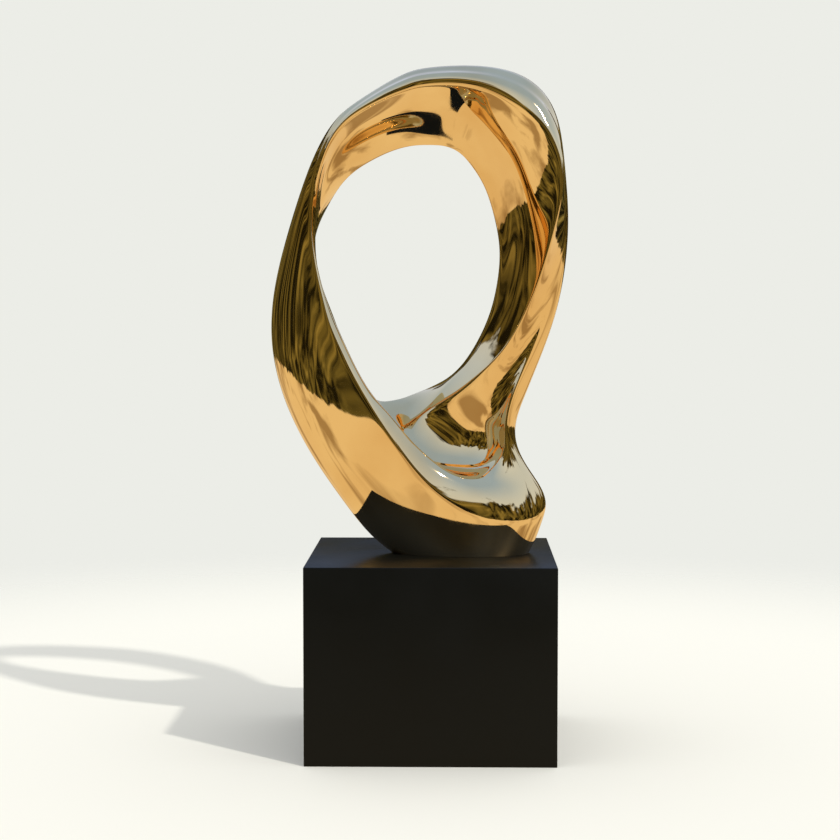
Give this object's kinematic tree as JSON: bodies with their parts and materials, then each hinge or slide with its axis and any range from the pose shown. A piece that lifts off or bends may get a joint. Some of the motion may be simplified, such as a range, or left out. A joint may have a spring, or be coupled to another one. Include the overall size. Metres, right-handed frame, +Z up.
{
  "type": "abstract ring sculpture on a plinth",
  "caption": "Abstract polished bronze sculpture, a twisted open ring that swells to a foot with a hollow, standing on a square satin black plinth.",
  "frame": {"origin": "centre of the plinth's underside, on the floor", "axes": "+Z up, X along the ring's width, -Y is the side that shows the hollow, with the foot's toe towards +X"},
  "size_m": [0.6173, 0.5, 1.3991],
  "materials": {
    "polished_bronze": "mirror polished bronze, unlacquered",
    "black_plinth": "satin black paint"
  },
  "bodies": {
    "root": {"bronze_ring": "polished_bronze", "plinth": "black_plinth"}
  },
  "joints": []
}
